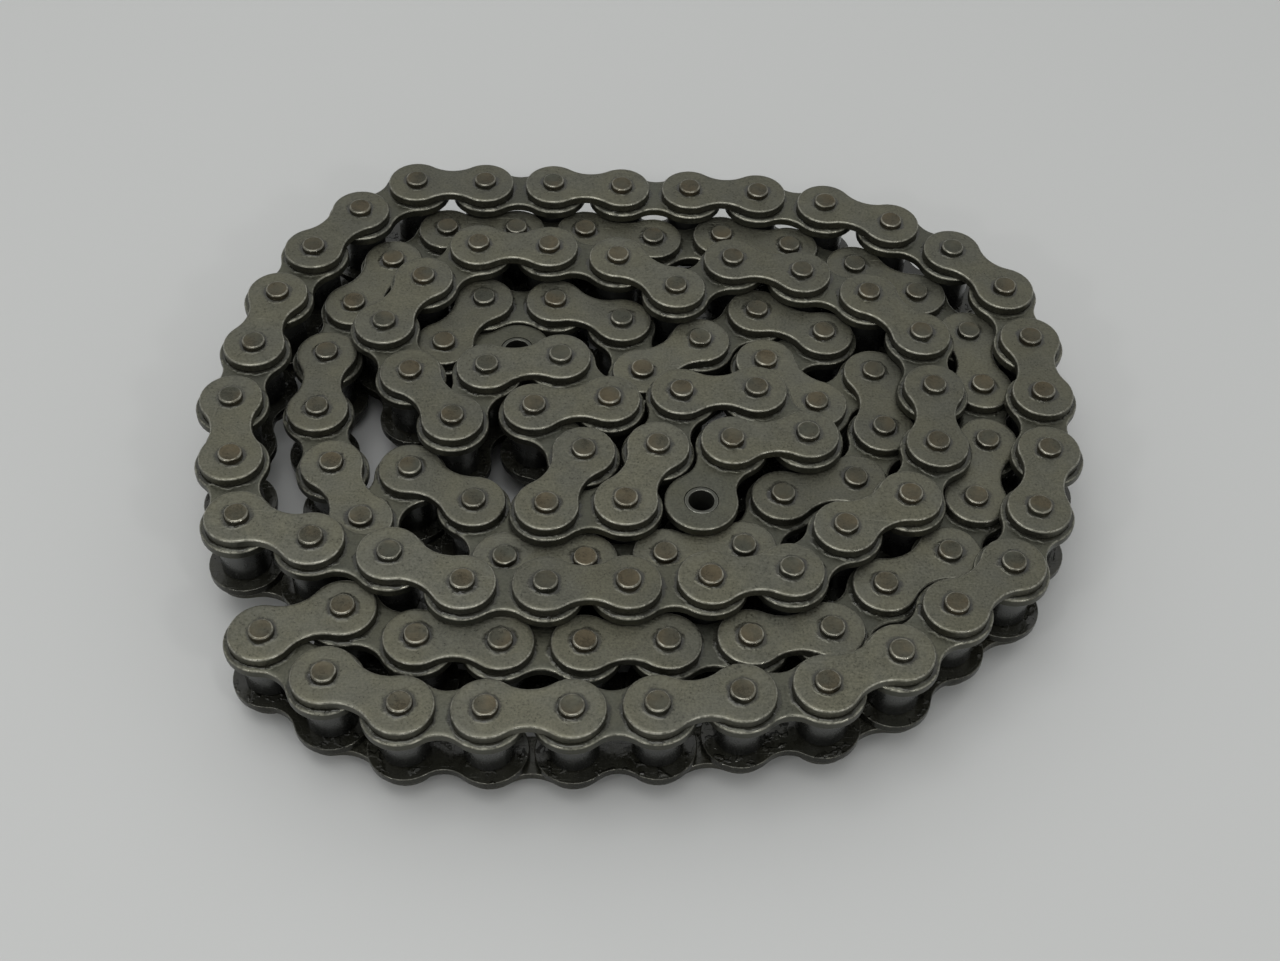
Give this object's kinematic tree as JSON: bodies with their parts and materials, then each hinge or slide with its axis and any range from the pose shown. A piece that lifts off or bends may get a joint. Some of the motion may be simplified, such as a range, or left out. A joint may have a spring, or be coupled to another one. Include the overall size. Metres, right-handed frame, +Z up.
{
  "type": "roller chain",
  "caption": "Coiled length of heavy riveted steel roller chain with an open bush at each free end, lying flat on its pin ends in two nested levels.",
  "frame": {"origin": "middle of the coil's outer box, at the floor that the lower pin ends stand on", "axes": "+Z up, along the pins; +X to the right and +Y to the back of the coil as the picture shows it"},
  "size_m": [0.2212, 0.1898, 0.0327],
  "materials": {
    "chain_steel": "dark, oiled, satin, worn bright on the plate edges"
  },
  "bodies": {
    "root": {"end_link": "chain_steel", "chain_section_01": "chain_steel", "chain_section_02": "chain_steel", "chain_section_03": "chain_steel", "chain_section_04": "chain_steel", "chain_section_05": "chain_steel", "chain_section_06": "chain_steel", "chain_section_07": "chain_steel", "chain_section_08": "chain_steel", "chain_section_09": "chain_steel", "chain_section_10": "chain_steel", "chain_section_11": "chain_steel", "chain_section_12": "chain_steel", "chain_section_13": "chain_steel", "chain_section_14": "chain_steel", "chain_section_15": "chain_steel", "chain_section_16": "chain_steel", "chain_section_17": "chain_steel", "chain_section_18": "chain_steel", "chain_section_19": "chain_steel", "chain_section_20": "chain_steel", "chain_section_21": "chain_steel", "chain_section_22": "chain_steel", "chain_section_23": "chain_steel", "chain_section_24": "chain_steel", "chain_section_25": "chain_steel", "chain_section_26": "chain_steel", "chain_section_27": "chain_steel", "chain_section_28": "chain_steel", "chain_section_29": "chain_steel", "chain_section_30": "chain_steel", "chain_section_31": "chain_steel", "chain_section_32": "chain_steel", "chain_section_33": "chain_steel", "chain_section_34": "chain_steel", "chain_section_35": "chain_steel", "chain_section_36": "chain_steel", "chain_section_37": "chain_steel", "chain_section_38": "chain_steel", "chain_section_39": "chain_steel", "chain_section_40": "chain_steel", "chain_section_41": "chain_steel", "chain_section_42": "chain_steel", "chain_section_43": "chain_steel", "chain_section_44": "chain_steel", "chain_section_45": "chain_steel", "chain_section_46": "chain_steel", "chain_section_47": "chain_steel", "chain_section_48": "chain_steel", "chain_section_49": "chain_steel", "chain_section_50": "chain_steel", "chain_section_51": "chain_steel", "chain_section_52": "chain_steel", "chain_section_53": "chain_steel", "chain_section_54": "chain_steel", "chain_section_55": "chain_steel", "chain_section_56": "chain_steel", "chain_section_57": "chain_steel"}
  },
  "joints": []
}
